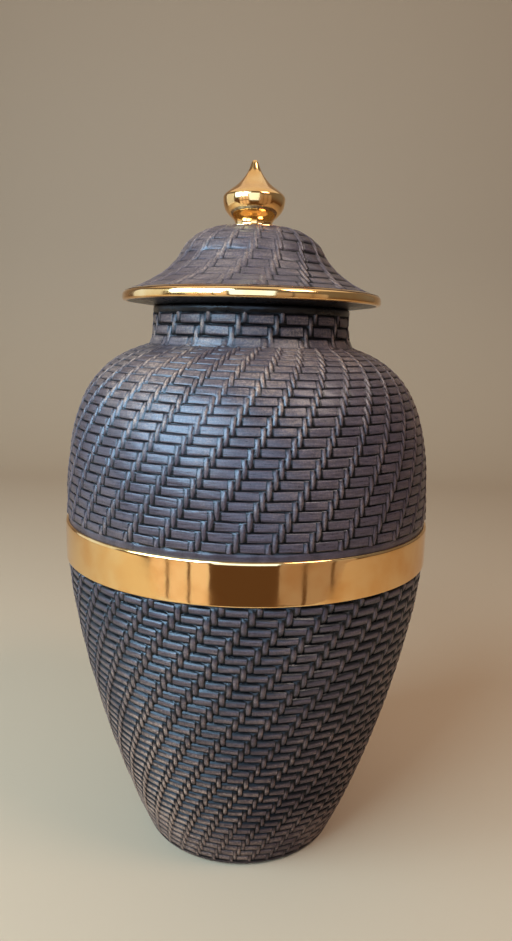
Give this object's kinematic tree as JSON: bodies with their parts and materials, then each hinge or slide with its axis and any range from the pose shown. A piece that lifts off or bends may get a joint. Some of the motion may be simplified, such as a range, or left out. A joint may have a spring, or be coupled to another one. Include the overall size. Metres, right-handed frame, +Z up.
{
  "type": "lidded vase",
  "caption": "Tall black ceramic jar with a basket-weave relief, a gold belly band and a lift-off bell-shaped lid with a gold rim and a gold onion finial.",
  "frame": {"origin": "centre of the foot, on the surface that the vase stands on", "axes": "+Z up along the axis that the vase is turned about; -Y is the side that faces the viewer"},
  "size_m": [0.19, 0.19, 0.3557],
  "materials": {
    "woven_black_ceramic": "satin",
    "gold_lustre": "polished"
  },
  "bodies": {
    "root": {"jar": "woven_black_ceramic", "lid": "woven_black_ceramic"}
  },
  "joints": []
}
